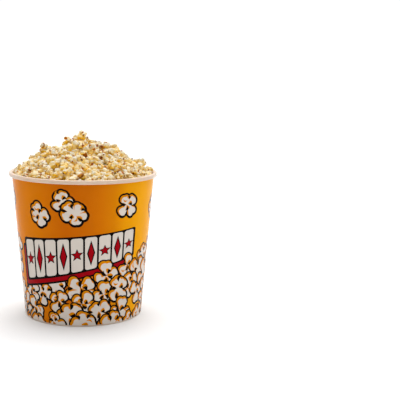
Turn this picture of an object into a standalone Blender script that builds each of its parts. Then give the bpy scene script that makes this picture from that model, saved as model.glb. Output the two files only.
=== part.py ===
"""Bucket of popcorn: a tapered round plastic bucket with a turned-over rim, filled with popcorn that is
heaped above the rim.

Metres, +Z up. The origin is the centre of the ring that the bucket stands on, and the printed front of the
bucket faces -Y. Two solids: the bucket, which is one moulding, and the popcorn, which fills the bucket from
its floor and rises to the uneven outline of the heap.
"""

import math

import bmesh
import bpy
import numpy as np

# Bucket
RIM_RADIUS = 0.0920  # outside of the turned-over rim
BUCKET_HEIGHT = 0.1808  # table to the top of the rim
BASE_RADIUS = 0.0736  # outside of the wall where it meets the table
NECK_RADIUS = 0.0883  # outside of the wall level with the lower edge of the rim
WALL = 0.0012
RIM_DROP = 0.0048  # how far the rim hangs down outside the wall
LIP_ROUNDING = 0.0016  # radius over the top of the rim
EDGE_ROUNDING = 0.0005  # radius of the small outside edges
FOOT_WIDTH = 0.0020  # ring that the bucket stands on
FLOOR_RISE = 0.0030  # underside of the floor above the table
FLOOR_THICKNESS = 0.0014
FLOOR_FILLET = 0.0040  # inside, where the floor turns up into the wall
BUCKET_SIDES = 72

# Popcorn
GAP = 0.0004  # between the popcorn and the plastic
EDGE_DEPTH = 0.0030  # the popcorn meets the wall this far under the top of the rim
DOME_HEIGHT = 0.0350  # of the smooth heap over its own edge
DOME_POWER = 1.8  # how flat the dome is on top: 2 is a parabola
FLAKE_SPACING = 0.0120  # least distance between the centres of two flakes
FLAKE_TRIES = 900
FLAKE_RADIUS = 0.0095
FLAKE_RISE = (0.0040, 0.0085)  # least and most that one flake stands out of the dome
CLUMPS = (  # places where flakes are piled up: x, y, radius, height
    (-0.0030, 0.0000, 0.0150, 0.0150),
    (-0.0420, -0.0060, 0.0150, 0.0080),
    (0.0300, -0.0040, 0.0190, 0.0070),
    (0.0060, 0.0460, 0.0200, 0.0065),
)
HEAP_SIDES = 84
HEAP_RINGS = 28
HEAP_SEED = 11

PLASTIC_COLOUR = (0.80, 0.62, 0.50, 1.0)
POPCORN_COLOUR = (0.86, 0.70, 0.42, 1.0)


def clear_scene():
    for old in list(bpy.data.objects):
        bpy.data.objects.remove(old)


def material(name, colour, roughness, metallic=0.0):
    """A Principled material with one colour."""
    made = bpy.data.materials.new(name)
    made.use_nodes = True
    shader = made.node_tree.nodes["Principled BSDF"]
    shader.inputs["Base Color"].default_value = colour
    shader.inputs["Roughness"].default_value = roughness
    shader.inputs["Metallic"].default_value = metallic
    return made


def outer_radius(z):
    """Outside radius of the straight tapered wall at height z."""
    neck_z = BUCKET_HEIGHT - RIM_DROP
    return BASE_RADIUS + (NECK_RADIUS - BASE_RADIUS) * z / neck_z


def inner_radius(z):
    """Inside radius of the wall at height z."""
    return outer_radius(z) - WALL


def arc(centre_r, centre_z, radius, start_deg, end_deg, steps):
    """Points of an arc in the (radius, height) plane, both ends included."""
    angles = np.radians(np.linspace(start_deg, end_deg, steps + 1))
    return [(centre_r + radius * math.cos(a), centre_z + radius * math.sin(a)) for a in angles]


def bucket_profile():
    """Half section of the bucket, from the centre of its underside round to the centre of its floor."""
    foot_inside = BASE_RADIUS - FOOT_WIDTH
    floor_top = FLOOR_RISE + FLOOR_THICKNESS
    rim_low = BUCKET_HEIGHT - RIM_DROP
    groove_top = BUCKET_HEIGHT - LIP_ROUNDING
    skirt_inside = RIM_RADIUS - WALL
    lip_inside = inner_radius(BUCKET_HEIGHT - LIP_ROUNDING)
    underside = [(0.0, FLOOR_RISE), (foot_inside - EDGE_ROUNDING, FLOOR_RISE)]
    foot = [(foot_inside, FLOOR_RISE - EDGE_ROUNDING), (foot_inside, 0.0)]
    foot += arc(BASE_RADIUS - EDGE_ROUNDING, EDGE_ROUNDING, EDGE_ROUNDING, -90, 0, 2)
    wall = [(outer_radius(rim_low), rim_low), (outer_radius(groove_top), groove_top)]
    skirt = [(skirt_inside, groove_top), (skirt_inside, rim_low)]
    skirt += arc(RIM_RADIUS - EDGE_ROUNDING, rim_low + EDGE_ROUNDING, EDGE_ROUNDING, -90, 0, 2)
    lip = arc(RIM_RADIUS - LIP_ROUNDING, BUCKET_HEIGHT - LIP_ROUNDING, LIP_ROUNDING, 0, 90, 4)
    lip += arc(lip_inside + LIP_ROUNDING, BUCKET_HEIGHT - LIP_ROUNDING, LIP_ROUNDING, 90, 180, 4)
    fillet_z = floor_top + FLOOR_FILLET
    fillet_r = inner_radius(fillet_z) - FLOOR_FILLET
    inside = arc(fillet_r, fillet_z, FLOOR_FILLET, 0, -90, 4)
    return underside + foot + wall + skirt + lip + inside + [(0.0, floor_top)]


def add_object(name, bm, finish, smooth_deg):
    """Turns a bmesh into a named object, its faces pointing outwards."""
    bmesh.ops.remove_doubles(bm, verts=bm.verts, dist=1e-6)
    bmesh.ops.recalc_face_normals(bm, faces=bm.faces)
    mesh = bpy.data.meshes.new(name)
    bm.to_mesh(mesh)
    bm.free()
    mesh.materials.append(finish)
    mesh.shade_smooth()
    mesh.set_sharp_from_angle(angle=math.radians(smooth_deg))
    made = bpy.data.objects.new(name, mesh)
    bpy.context.scene.collection.objects.link(made)
    return made


def make_bucket():
    """The bucket: its half section spun once round the axis."""
    bm = bmesh.new()
    points = [bm.verts.new((r, 0.0, z)) for r, z in bucket_profile()]
    edges = [bm.edges.new(pair) for pair in zip(points, points[1:])]
    bmesh.ops.spin(
        bm,
        geom=points + edges,
        cent=(0, 0, 0),
        axis=(0, 0, 1),
        angle=2 * math.pi,
        steps=BUCKET_SIDES,
        use_merge=True,
    )
    plastic = material("milky_plastic", PLASTIC_COLOUR, 0.3)
    return add_object("bucket", bm, plastic, 50)


def heap_edge():
    """Radius and height of the circle where the popcorn meets the wall."""
    z = BUCKET_HEIGHT - EDGE_DEPTH
    return inner_radius(z) - GAP, z


def flake_places(edge_radius):
    """Centres and heights of the flakes that show: tried at random, and kept where no other is too near."""
    random = np.random.default_rng(HEAP_SEED)
    centres = np.zeros((0, 2))
    for x, y in random.uniform(-edge_radius, edge_radius, (FLAKE_TRIES, 2)):
        clear = np.hypot(centres[:, 0] - x, centres[:, 1] - y) > FLAKE_SPACING
        if math.hypot(x, y) < edge_radius and clear.all():
            centres = np.vstack([centres, (x, y)])
    return centres, random.uniform(*FLAKE_RISE, len(centres))


def heap_height(points, edge_radius):
    """Height of the heap over its edge at each (x, y): a dome, the clumps on it and the flakes on those."""
    share = np.minimum(np.hypot(points[:, 0], points[:, 1]) / edge_radius, 1.0)
    height = DOME_HEIGHT * (1 - share**DOME_POWER)
    for x, y, radius, rise in CLUMPS:
        squared = ((points[:, 0] - x) ** 2 + (points[:, 1] - y) ** 2) / radius**2
        height += rise * np.exp(-squared)
    centres, rises = flake_places(edge_radius)
    away = np.hypot(*(points[:, None, :] - centres[None, :, :]).transpose(2, 0, 1))
    caps = rises * np.maximum(1 - (away / FLAKE_RADIUS) ** 2, 0.0)
    fade = np.minimum((1 - share) * edge_radius / FLAKE_RADIUS, 1.0)  # the flakes end at the wall
    return height + caps.max(axis=1) * fade


def make_heap():
    """The popcorn: a tapered plug that fills the bucket, closed on top by the uneven heap."""
    edge_radius, edge_z = heap_edge()
    floor_z = FLOOR_RISE + FLOOR_THICKNESS + GAP
    turns = np.arange(HEAP_SIDES) * 2 * math.pi / HEAP_SIDES
    circle = np.stack([np.cos(turns), np.sin(turns)], axis=1)
    bm = bmesh.new()

    def ring(radius, heights):
        points = zip(radius * circle, np.broadcast_to(heights, HEAP_SIDES))
        return [bm.verts.new((x, y, z)) for (x, y), z in points]

    fillet_z = floor_z + FLOOR_FILLET
    rings = [
        ring(inner_radius(fillet_z) - GAP - FLOOR_FILLET, floor_z),
        ring(inner_radius(fillet_z) - GAP, fillet_z),
        ring(edge_radius, edge_z),
    ]
    for step in range(1, HEAP_RINGS):
        radius = edge_radius * (1 - step / HEAP_RINGS)
        rings.append(ring(radius, edge_z + heap_height(radius * circle, edge_radius)))
    for low, high in zip(rings, rings[1:]):
        for i in range(HEAP_SIDES):
            j = (i + 1) % HEAP_SIDES
            bm.faces.new((low[i], low[j], high[j], high[i]))
    bm.faces.new(rings[0][::-1])
    top = bm.verts.new((0, 0, edge_z + heap_height(np.zeros((1, 2)), edge_radius)[0]))
    for i in range(HEAP_SIDES):
        bm.faces.new((rings[-1][i], rings[-1][(i + 1) % HEAP_SIDES], top))
    popcorn = material("popcorn", POPCORN_COLOUR, 0.8)
    return add_object("popcorn_heap", bm, popcorn, 60)


def main():
    clear_scene()
    make_bucket()
    make_heap()


main()
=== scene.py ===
import math

import bpy
import numpy as np
from mathutils import Matrix, Vector
from mathutils.geometry import delaunay_2d_cdt


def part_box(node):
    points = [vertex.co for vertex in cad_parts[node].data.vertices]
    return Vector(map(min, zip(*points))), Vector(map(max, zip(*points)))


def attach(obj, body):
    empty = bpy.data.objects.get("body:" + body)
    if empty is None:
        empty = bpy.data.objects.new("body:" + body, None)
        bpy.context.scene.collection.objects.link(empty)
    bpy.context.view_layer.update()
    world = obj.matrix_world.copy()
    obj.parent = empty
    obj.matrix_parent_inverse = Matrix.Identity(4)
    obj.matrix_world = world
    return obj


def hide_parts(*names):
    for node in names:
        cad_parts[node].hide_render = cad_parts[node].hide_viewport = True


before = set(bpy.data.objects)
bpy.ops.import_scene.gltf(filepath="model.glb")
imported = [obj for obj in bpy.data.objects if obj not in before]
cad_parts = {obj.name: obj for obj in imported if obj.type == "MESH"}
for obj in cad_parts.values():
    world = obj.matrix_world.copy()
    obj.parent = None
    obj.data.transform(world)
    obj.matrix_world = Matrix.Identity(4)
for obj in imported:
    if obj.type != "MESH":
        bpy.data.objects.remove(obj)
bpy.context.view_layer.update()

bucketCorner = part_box("bucket")[1]
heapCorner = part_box("popcorn_heap")[1]
rimRadius = bucketCorner.x
rimTop = bucketCorner.z
print("frame loaded, bucket", round(rimTop * 1000), "mm high")
print("with the heap", round(heapCorner.z * 1000), "mm high")


# Camera

cameraView = {
    "place": (0.0, -1.147, 0.328),
    "turn": 7.366,  # degrees to the right of the bucket's axis
    "tilt": -9.067,  # degrees up
    "roll": 1.124,  # degrees
    "lens": 82.05,  # mm, on a sensor this wide
    "sensor": 36.0,
}


def makeCamera():
    turn, tilt, roll = np.radians([cameraView["turn"], cameraView["tilt"], cameraView["roll"]])
    ahead = Vector((math.sin(turn) * math.cos(tilt), math.cos(turn) * math.cos(tilt), math.sin(tilt)))
    right = Vector((math.cos(turn), -math.sin(turn), 0))
    up = right.cross(ahead)
    across = right * math.cos(roll) + up * math.sin(roll)
    upward = up * math.cos(roll) - right * math.sin(roll)
    place = Matrix((across, upward, -ahead)).transposed().to_4x4()
    place.translation = cameraView["place"]
    lens = bpy.data.cameras.new("camera")
    lens.sensor_width = cameraView["sensor"]
    lens.lens = cameraView["lens"]
    camera = bpy.data.objects.new("camera", lens)
    camera.matrix_world = place
    bpy.context.scene.collection.objects.link(camera)
    bpy.context.scene.camera = camera


# Shared making of meshes and finishes


def addMesh(name, points, faces, finish, values=None, normals=None):
    # points are places in metres; faces is a list of arrays of corner numbers, one array for each
    # number of corners; values are numbers held by the points; normals are one direction for each point
    mesh = bpy.data.meshes.new(name)
    mesh.vertices.add(len(points))
    mesh.vertices.foreach_set("co", np.asarray(points, np.float32).ravel())
    corners = np.concatenate([block.ravel() for block in faces])
    sides = np.concatenate([np.full(len(block), block.shape[1]) for block in faces])
    mesh.loops.add(len(corners))
    mesh.loops.foreach_set("vertex_index", corners.astype(np.int32))
    mesh.polygons.add(len(sides))
    mesh.polygons.foreach_set("loop_start", (np.cumsum(sides) - sides).astype(np.int32))
    mesh.update(calc_edges=True)
    mesh.validate()
    mesh.shade_smooth()
    for key, numbers in (values or {}).items():
        held = mesh.attributes.new(key, "FLOAT", "POINT")
        held.data.foreach_set("value", np.asarray(numbers, np.float32).ravel())
    if normals is not None:
        mesh.normals_split_custom_set_from_vertices(np.asarray(normals).tolist())
    mesh.materials.append(finish)
    made = bpy.data.objects.new(name, mesh)
    bpy.context.scene.collection.objects.link(made)
    return made


def addPiece(name, slotName, *mesh, **more):
    # a piece of the bucket or of what is in it, which stands as one body
    made = addMesh(name, *mesh, **more)
    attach(made, "root")
    return made


def newFinish(name, sockets):
    finish = bpy.data.materials.new(name)
    finish.use_nodes = True
    shader = finish.node_tree.nodes["Principled BSDF"]
    for socket, value in sockets.items():
        shader.inputs[socket].default_value = value
    return finish, finish.node_tree, shader


def addNode(tree, kind, settings=None, inputs=None):
    # one node: settings are its own choices, inputs are numbers or the outputs that feed it
    node = tree.nodes.new(kind)
    for key, value in (settings or {}).items():
        setattr(node, key, value)
    for key, value in (inputs or {}).items():
        if isinstance(value, bpy.types.NodeSocket):
            tree.links.new(value, node.inputs[key])
        else:
            node.inputs[key].default_value = value
    return node


def addRamp(tree, factor, stops):
    # a colour ramp: stops are (place from 0 to 1, colour)
    node = addNode(tree, "ShaderNodeValToRGB", inputs={"Fac": factor})
    ramp = node.color_ramp
    while len(ramp.elements) < len(stops):
        ramp.elements.new(1.0)
    for element, (place, colour) in zip(ramp.elements, stops):
        element.position = place
        element.color = (*colour, 1.0)
    return node.outputs["Color"]


def addNoise(tree, place, scale, detail):
    # a cloudy pattern of numbers round 0.5
    inputs = {"Vector": place, "Scale": scale, "Detail": detail}
    return addNode(tree, "ShaderNodeTexNoise", inputs=inputs).outputs["Fac"]


def addBump(tree, shader, height, strength, distance):
    # fine relief on a finish, from a pattern of heights
    inputs = {"Strength": strength, "Distance": distance, "Height": height}
    bump = addNode(tree, "ShaderNodeBump", inputs=inputs)
    tree.links.new(bump.outputs["Normal"], shader.inputs["Normal"])


def addMix(tree, factor, first, second, blend="MIX"):
    # a second colour laid over a first, as far as the factor says
    settings = {"data_type": "RGBA", "blend_type": blend}
    return addNode(tree, "ShaderNodeMix", settings, {0: factor, 6: first, 7: second}).outputs[2]


def addMath(tree, operation, *numbers, clamp=False):
    # one step of arithmetic on numbers or outputs, held between 0 and 1 with clamp
    settings = {"operation": operation, "use_clamp": clamp}
    return addNode(tree, "ShaderNodeMath", settings, dict(enumerate(numbers))).outputs[0]


def addValue(tree, key):
    # a number that the mesh's points hold
    return addNode(tree, "ShaderNodeAttribute", {"attribute_name": key}).outputs["Fac"]


def fromSrgb(*colour):
    # a colour as a screen shows it, 0 to 255, as the light that it stands for
    share = np.array(colour) / 255
    return tuple(np.where(share <= 0.04045, share / 12.92, ((share + 0.055) / 1.055) ** 2.4))


def cubeDirections(cells):
    # unit directions of a cube's grid pushed out to a sphere: (1, tan a, tan b) on each of its six
    # sides, a and b from -45 to 45 degrees, its seams merged
    steps = np.tan(np.linspace(-math.pi / 4, math.pi / 4, cells + 1))
    a, b = np.meshgrid(steps, steps, indexing="ij")
    one = np.ones_like(a)
    sides = [(one, a, b), (-one, b, a), (b, one, a), (a, -one, b), (a, b, one), (b, a, -one)]
    points = np.concatenate([np.stack(side, axis=-1).reshape(-1, 3) for side in sides])
    points /= np.linalg.norm(points, axis=1, keepdims=True)
    number = np.arange((cells + 1) ** 2).reshape(cells + 1, cells + 1)
    quad = [number[:-1, :-1], number[1:, :-1], number[1:, 1:], number[:-1, 1:]]
    quads = np.stack(quad, axis=-1).reshape(-1, 4)
    faces = np.concatenate([quads + side * (cells + 1) ** 2 for side in range(6)])
    first, where = np.unique(np.round(points, 5), axis=0, return_index=True, return_inverse=True)[1:]
    return points[first], where.reshape(-1)[faces]


# Stage: a white floor, a white dome that only the camera sees, and soft light from above

studio = {
    "floorSize": 12.0,
    "floorColour": (0.80, 0.80, 0.80),
    "domeRadius": 5.5,
    "domeCells": 12,
    "domeGlow": 1.05,
    "topLight": 2.55,  # watts to the square metre
    "topLightSpread": 60.0,  # degrees across
    "topLightFrom": (0.06, 0.30, 1.0),
    "skyDim": 0.17,  # the light of the surroundings, from the dim side to the bright one
    "skyBright": 1.00,
    "skyBrightSide": (0.30, 0.52, 0.70),
}


def makeStage():
    half = studio["floorSize"] / 2
    corners = np.array([(-half, -half, 0), (half, -half, 0), (half, half, 0), (-half, half, 0)])
    finish, tree, shader = newFinish("studio_floor", {"Roughness": 0.9, "Specular IOR Level": 0.0})
    shader.inputs["Base Color"].default_value = (*studio["floorColour"], 1)
    floor = addMesh("studio_floor", corners, [np.array([(0, 1, 2, 3)])], finish)

    directions, quads = cubeDirections(studio["domeCells"])
    glow = bpy.data.materials.new("studio_dome")
    glow.use_nodes = True
    glow.node_tree.nodes.remove(glow.node_tree.nodes["Principled BSDF"])
    light = addNode(glow.node_tree, "ShaderNodeEmission", inputs={"Strength": studio["domeGlow"]})
    glow.node_tree.links.new(light.outputs[0], glow.node_tree.nodes["Material Output"].inputs["Surface"])
    dome = addMesh("studio_dome", directions * studio["domeRadius"], [quads[:, ::-1]], glow)
    for kind in ("diffuse", "glossy", "transmission", "shadow"):
        setattr(dome, "visible_" + kind, False)

    lamp = bpy.data.lights.new("top_light", "SUN")
    lamp.energy = studio["topLight"]
    lamp.angle = math.radians(studio["topLightSpread"])
    top = bpy.data.objects.new("top_light", lamp)
    top.rotation_euler = Vector(studio["topLightFrom"]).to_track_quat("Z", "Y").to_euler()
    bpy.context.scene.collection.objects.link(top)

    world = bpy.data.worlds.new("surroundings")
    world.use_nodes = True
    bpy.context.scene.world = world
    tree = world.node_tree
    place = addNode(tree, "ShaderNodeTexCoord")
    side = Vector(studio["skyBrightSide"]).normalized()
    facing = addNode(
        tree,
        "ShaderNodeVectorMath",
        {"operation": "DOT_PRODUCT"},
        {0: place.outputs["Generated"], 1: tuple(side)},
    )
    strength = addNode(
        tree,
        "ShaderNodeMapRange",
        {"interpolation_type": "SMOOTHSTEP"},
        {
            "Value": facing.outputs["Value"],
            "From Min": -1.0,
            "From Max": 1.0,
            "To Min": studio["skyDim"],
            "To Max": studio["skyBright"],
        },
    )
    tree.links.new(strength.outputs["Result"], tree.nodes["Background"].inputs["Strength"])
    tree.nodes["Background"].inputs["Color"].default_value = (1, 1, 1, 1)
    bpy.context.scene.view_settings.view_transform = "Standard"


# Bucket

bucketShape = {
    "baseRadius": 0.0736,  # outside of the wall at the table
    "neckRadius": 0.0883,  # outside of the wall at the rim's lower edge
    "wall": 0.0012,
    "rimDrop": 0.0048,
    "lipRounding": 0.0016,
    "edgeRounding": 0.0005,
    "footRounding": 0.4,  # inside the foot ring, as a share of the edges' rounding
    "skirtRounding": 0.5,  # inside the rim's lower edge, likewise
    "footWidth": 0.0020,
    "floorRise": 0.0030,
    "floorThickness": 0.0014,
    "floorFillet": 0.0040,
    "gateRadius": 0.0022,  # the small moulding mark under the floor
    "gateDrop": 0.0007,
    "gateSlope": 0.0003,  # how much narrower it is at its low end
    "wallFrom": 0.004,  # height of the lowest ring of points on the wall
    "wallRings": 12,
    "sides": 240,
    "sharpAngle": 40,  # degrees between faces, from which an edge is shown sharp
    "colour": fromSrgb(211, 187, 167),
    "clouding": (0.97, 1.02),  # the colour times this, in the darkest and brightest clouds
    "roughness": 0.32,
}


def wallRadius(height):
    # outside radius of the straight tapered wall: it grows evenly from the base to the neck
    neckHeight = rimTop - bucketShape["rimDrop"]
    share = np.asarray(height) / neckHeight
    return bucketShape["baseRadius"] + (bucketShape["neckRadius"] - bucketShape["baseRadius"]) * share


def insideRadius(height):
    return wallRadius(height) - bucketShape["wall"]


def arc(centre, radius, startAngle, endAngle, steps):
    # points on an arc in a plane: centre + radius * (cos, sin), both ends included, angles in degrees
    angles = np.radians(np.linspace(startAngle, endAngle, steps + 1))
    return np.array(centre) + radius * np.stack([np.cos(angles), np.sin(angles)], axis=1)


def bucketSection():
    # half section from the middle of the underside, up the outside, over the rim and down to the floor
    shape = bucketShape
    edge, lip = shape["edgeRounding"], shape["lipRounding"]
    foot, skirt = edge * shape["footRounding"], edge * shape["skirtRounding"]
    rimLow = rimTop - shape["rimDrop"]
    grooveTop = rimTop - lip
    footInside = shape["baseRadius"] - shape["footWidth"]
    floorLow = shape["floorRise"]
    floorTop = floorLow + shape["floorThickness"]
    fillet = shape["floorFillet"]
    filletHeight = floorTop + fillet
    filletRadius = float(insideRadius(filletHeight)) - fillet
    lipInside = float(insideRadius(grooveTop))
    skirtInside = rimRadius - shape["wall"]
    gateLow = floorLow - shape["gateDrop"]
    gate = shape["gateRadius"]
    heights = np.linspace(shape["wallFrom"], rimLow, shape["wallRings"])
    return np.concatenate([
        [(0, gateLow), (gate - shape["gateSlope"], gateLow), (gate, floorLow)],
        arc((footInside - edge, floorLow - edge), edge, 90, 0, 3),
        arc((footInside + foot, foot), foot, 180, 270, 2),
        arc((shape["baseRadius"] - edge, edge), edge, -90, 0, 4),
        np.stack([wallRadius(heights), heights], axis=1),
        [(wallRadius(grooveTop), grooveTop), (skirtInside, grooveTop)],
        arc((skirtInside + skirt, rimLow + skirt), skirt, 180, 270, 2),
        arc((rimRadius - edge, rimLow + edge), edge, -90, 0, 4),
        arc((rimRadius - lip, rimTop - lip), lip, 0, 90, 9),
        arc((lipInside + lip, rimTop - lip), lip, 90, 180, 9),
        arc((filletRadius, filletHeight), fillet, 0, -90, 8),
        [(0, floorTop)],
    ])


def rounds(sides, rings):
    # faces that join rings of points, each with the same number round it, and close both ends on two
    # last points, the low pole and the high one
    here = np.arange(sides)
    after = (here + 1) % sides
    row = np.arange(rings - 1)[:, None] * sides
    walls = np.stack([row + here, row + after, row + sides + after, row + sides + here], axis=-1)
    last, lowPole = (rings - 1) * sides, rings * sides
    lowCap = np.column_stack([after, here, np.full(sides, lowPole)])
    highCap = np.column_stack([last + here, last + after, np.full(sides, lowPole + 1)])
    return [walls.reshape(-1, 4), np.vstack([lowCap, highCap])]


def turn(section, sides):
    # a section turned about the upright axis: (r cos a, r sin a, z); its first and last points are poles
    angles = np.arange(sides) * 2 * math.pi / sides
    ring = np.stack([np.cos(angles), np.sin(angles)], axis=1)
    middle = section[1:-1]
    flat = (middle[:, None, 0:1] * ring[None]).reshape(-1, 2)
    points = np.column_stack([flat, np.repeat(middle[:, 1], sides)])
    points = np.vstack([points, (0, 0, section[0, 1]), (0, 0, section[-1, 1])])
    return points, rounds(sides, len(middle))


def makePlastic():
    # plastic that lets a little light in, faintly cloudy, with a very fine grain
    finish, tree, shader = newFinish("milky_plastic", {
        "Roughness": bucketShape["roughness"],
        "IOR": 1.49,
        "Subsurface Weight": 0.35,
        "Subsurface Radius": (0.006, 0.004, 0.003),
        "Subsurface Scale": 1.0,
    })
    place = addNode(tree, "ShaderNodeTexCoord").outputs["Object"]
    cloud = addNoise(tree, place, scale=45.0, detail=3.0)
    base = np.array(bucketShape["colour"])
    dark, bright = bucketShape["clouding"]
    tone = addRamp(tree, cloud, [(0.3, base * dark), (0.7, base * bright)])
    tree.links.new(tone, shader.inputs["Base Color"])
    grain = addNoise(tree, place, scale=900.0, detail=2.0)
    addBump(tree, shader, grain, strength=0.08, distance=0.0002)
    return finish


def makeBucket():
    points, faces = turn(bucketSection(), bucketShape["sides"])
    bucket = addPiece("bucket_moulding", "bucket_plastic", points, faces, makePlastic())
    bucket.data.set_sharp_from_angle(angle=math.radians(bucketShape["sharpAngle"]))
    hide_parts("bucket")
    print("bucket turned,", len(points), "points")


# Print: flat shapes drawn on the label, one over another, then cut into one film for each ink

label = {
    "low": 0.0018,  # lower edge above the table
    "underRim": 0.0005,
    "seam": 0.0005,  # gap where the label's ends meet
    "seamAngle": -95.5,  # degrees round from the front: between the two banners
    "spacing": 0.0045,  # of the points between the shapes
    "longestSide": 0.003,  # of the shapes' outlines
    "tolerance": 0.0005,  # mm
    "blockSize": 500,  # points compared at a time
    "filmInside": 0.00004,  # the film's two faces outside the wall
    "filmOutside": 0.00011,
    "gloss": 0.16,
    "specular": 0.03,
    "mottle": 0.05,  # how much darker an ink is in its darkest clouds
    "groundMottle": 0.04,
}

inkColours = {
    "ink": fromSrgb(9, 5, 4),
    "cream": fromSrgb(216, 206, 196),
    "amber": fromSrgb(214, 130, 1),
    "red": fromSrgb(158, 2, 16),
}

groundColoursWithPaintedLight = [  # painted light round the bucket from the back, over its left, front and right sides, to the back: darkest at the front, brighter at the sides and back
    (0.00, fromSrgb(236, 158, 2)),
    (0.20, fromSrgb(228, 140, 1)),
    (0.34, fromSrgb(218, 124, 1)),
    (0.40, fromSrgb(210, 115, 1)),
    (0.46, fromSrgb(198, 98, 1)),
    (0.51, fromSrgb(201, 104, 1)),
    (0.54, fromSrgb(211, 114, 1)),
    (0.57, fromSrgb(216, 127, 1)),
    (0.60, fromSrgb(231, 151, 1)),
    (0.65, fromSrgb(239, 163, 2)),
    (0.80, fromSrgb(238, 162, 2)),
    (1.00, fromSrgb(236, 158, 2)),
]

banner = {
    "leftAngle": -58.0,  # degrees round from the front
    "rightAngle": 47.0,
    "low": (0.054, 0.085),  # lower edge at the left and right ends
    "high": (0.103, 0.118),
    "panels": 9,
    "gap": 0.0023,  # between two panels
    "outline": 0.0023,
    "cornerRadius": 0.0030,
    "shadow": (-0.0050, -0.0085),  # how far it lies across and up from the band
    "stars": ((0.0079, 0.0036), (0.0058, 0.0024)),  # outer and inner radius, of the outline and the red
    "lozenges": ((0.0098, 0.0330), (0.0064, 0.0255)),  # width and height, likewise
}

crowd = {
    "seed": 5,
    "tries": 6000,
    "spacing": 0.0194,  # least distance between two puffs' middles
    "lowest": -0.004,  # height of the lowest middles
    "shuffle": 0.020,  # puffs less than this above others may still be drawn over them
    "sideTop": 0.104,  # of the crowd between the two banners
    "sideDrop": 0.010,  # of the puffs' middles under that
    "sides": (-0.16, 1.12),  # where the sides begin, in shares of a banner's length from its left end
    "overFrom": 0.72,  # puffs right of this share go over the banner's shadow
    "overRise": 0.002,
    "underDrop": 0.001,
    "clear": 0.0125,  # other puffs less than this under a banner's shadow go behind it
    "lobes": (3, 5),  # least and most on a puff
    "size": (0.0080, 0.0102),
    "outline": 0.0017,
    "floatingOutline": 0.0022,
    "heavy": 1.0,  # how far the outline's heavy side reaches, in shares of lit
    "lit": (0.17, -0.19),  # how far the cream is moved off the amber, in sizes
    "litShare": 0.88,  # radius of the cream's discs, as a share of the amber's
    "curls": 0.30,  # share of the lobes with an amber curl
}

puffShape = {  # lengths are shares of the puff's size
    "uneven": 0.16,  # how far a lobe stands off its even place, as a share of the angle between two
    "reach": (0.95, 1.45),  # middle of the puff to middle of a lobe
    "width": (0.15, 0.46),  # of a lobe, from its middle to each of its two discs
    "roomyCount": 3.4,  # from this number of lobes on they are narrower
    "disc": (0.44, 0.62),
    "middle": 0.74,
    "creamReach": 0.97,
    "notch": (0.60, 1.00),  # length of the crease that runs in from it
    "notchBend": 0.22,
    "notchInk": (0.60, 0.75),  # width and bluntness of its stroke
    "notchAmber": (0.86, 0.50),
    "amberBend": 0.12,
    "amberShift": 0.8,  # of its end, in shares of lit
    "curlStart": (0.55, 0.35),  # along the lobe's reach, and to one side of it
    "curlEnd": (1.05, 0.30),
    "curlBend": 0.28,
    "curlWidth": 0.26,
}

floating = [  # puffs over the banner: degrees round from the front, height, size, turn in degrees
    (-38.0, 0.1370, 0.0078, 20.0),
    (-17.0, 0.1560, 0.0070, 75.0),
    (-8.0, 0.1410, 0.0082, 200.0),
    (37.0, 0.1490, 0.0080, 310.0),
    (-84.0, 0.1520, 0.0078, 130.0),
    (80.0, 0.1400, 0.0076, 245.0),
]

middleRadius = float(wallRadius(rimTop / 2))
wholeTurn = 2 * math.pi * middleRadius
labelMiddle = label["seamAngle"] + 180  # the flat label's across is measured from here


def discsReach(angles, centres, radii):
    # how far overlapping discs reach from the point (0, 0) inside them: in the direction d the
    # farthest exit, d.c + sqrt(r^2 - |c|^2 + (d.c)^2), over all the discs
    along = np.stack([np.cos(angles), np.sin(angles)], axis=1) @ centres.T
    under = radii**2 - (centres**2).sum(axis=1) + along**2
    return np.where(under > 0, along + np.sqrt(np.maximum(under, 0)), 0).max(axis=1)


def discsOutline(centres, radii, middle, steps=84):
    # the closed outline of overlapping discs, at the middle's place
    angles = np.arange(steps) * 2 * math.pi / steps
    reach = discsReach(angles, centres, radii)
    return middle + np.stack([np.cos(angles), np.sin(angles)], axis=1) * reach[:, None]


def stroke(start, end, bend, width, blunt=0.0, steps=7):
    # a curved stroke: the line from start to end pushed sideways by bend * 4t(1 - t); its width is that
    # of a leaf, width * sin(pi t), of a wedge, width * (1 - t), or a mixture with blunt as the wedge's share
    start, end = np.asarray(start), np.asarray(end)
    share = np.linspace(0, 1, steps)
    side = np.array([start[1] - end[1], end[0] - start[0]])
    side = side / (np.hypot(*side) + 1e-9)
    line = start + (end - start) * share[:, None] + side * (bend * 4 * share * (1 - share))[:, None]
    profile = (1 - blunt) * np.sin(math.pi * share) + blunt * (1 - share)
    half = width / 2 * profile[:, None] * side
    return np.concatenate([line + half, (line - half)[-2::-1] if blunt else (line - half)[-2:0:-1]])


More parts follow.
